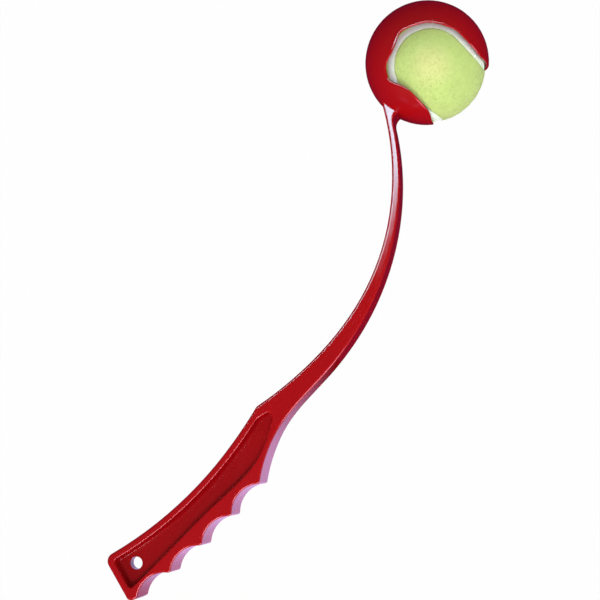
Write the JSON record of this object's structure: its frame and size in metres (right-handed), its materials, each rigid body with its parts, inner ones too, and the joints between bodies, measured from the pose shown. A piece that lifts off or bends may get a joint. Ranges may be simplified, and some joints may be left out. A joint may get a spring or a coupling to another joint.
{
  "type": "dog ball thrower",
  "caption": "Dog ball thrower: a finger-grooved grip with hollow sides and a hang hole, a thin curved springy arm and an open cup that holds a felt tennis ball.",
  "frame": {"origin": "centre of the hang hole through the grip, on the plane that halves the thrower's width", "axes": "+X along the throw line from the hang hole to the centre of the cup; +Z along the hang hole, square to the plane in which the thrower swings; the fingers hold the -Y side and the cup's mouth opens towards -Y. The thrower lies on its side, as in the picture."},
  "size_m": [0.399, 0.0828, 0.0676],
  "materials": {
    "thrower_plastic": "glossy red injection-moulded plastic",
    "ball_rubber": "plain black rubber",
    "ball_felt": "fuzzy yellow-green felt",
    "ball_seam_rubber": "matte off-white rubber"
  },
  "bodies": {
    "thrower": {"thrower_moulding": "thrower_plastic"},
    "ball": {"ball_core_half_a": "ball_rubber", "ball_core_half_b": "ball_rubber", "ball_felt_panel_a": "ball_felt", "ball_felt_panel_b": "ball_felt", "ball_seam": "ball_seam_rubber"}
  },
  "joints": [
    {"name": "ball_spin", "type": "hinge", "parent": "thrower", "child": "ball", "pos_m": [0.34242, -0.00234, 0], "axis": [0, 0, 1], "continuous": true}
  ]
}
